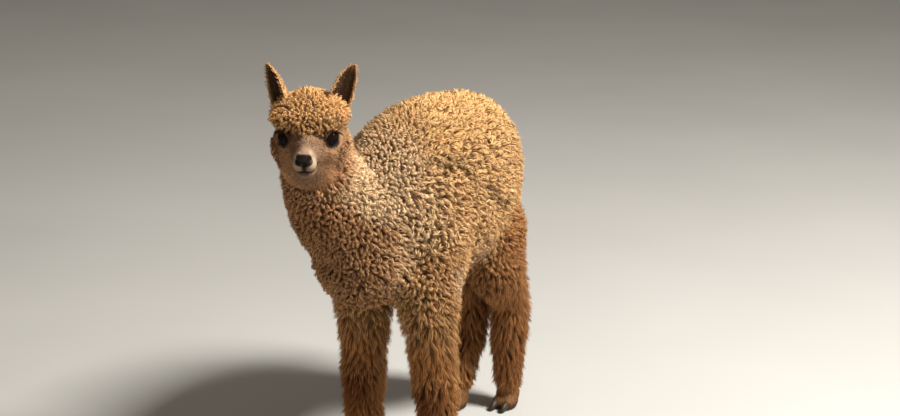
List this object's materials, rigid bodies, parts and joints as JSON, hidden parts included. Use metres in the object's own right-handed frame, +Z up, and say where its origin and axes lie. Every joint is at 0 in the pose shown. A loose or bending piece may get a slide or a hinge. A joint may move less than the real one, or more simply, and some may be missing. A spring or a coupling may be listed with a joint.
{
  "type": "young alpaca model",
  "caption": "Still life-size young huacaya alpaca with curly fawn fleece, standing with its neck forward and its head turned to look to its left.",
  "frame": {"origin": "on the floor, below the middle of the overall size", "axes": "+Z up; the animal's body faces -Y, and its left side is +X"},
  "size_m": [0.3038, 0.8172, 0.89],
  "materials": {
    "fleece": "curly fawn wool",
    "short_coat": "short fawn hair",
    "horn": "dark satin horn",
    "eye": "wet dark brown"
  },
  "bodies": {
    "root": {"head": "fleece", "neck": "fleece", "trunk": "fleece", "tail": "fleece", "ear_left": "short_coat", "ear_right": "short_coat", "eye_left": "eye", "eye_right": "eye", "leg_front_left_upper": "fleece", "leg_front_left_lower": "fleece", "foot_front_left": "short_coat", "nail_front_left_outer": "horn", "nail_front_left_inner": "horn", "leg_front_right_upper": "fleece", "leg_front_right_lower": "fleece", "foot_front_right": "short_coat", "nail_front_right_outer": "horn", "nail_front_right_inner": "horn", "leg_back_left_upper": "fleece", "leg_back_left_lower": "fleece", "foot_back_left": "short_coat", "nail_back_left_outer": "horn", "nail_back_left_inner": "horn", "leg_back_right_upper": "fleece", "leg_back_right_lower": "fleece", "foot_back_right": "short_coat", "nail_back_right_outer": "horn", "nail_back_right_inner": "horn"}
  },
  "joints": []
}
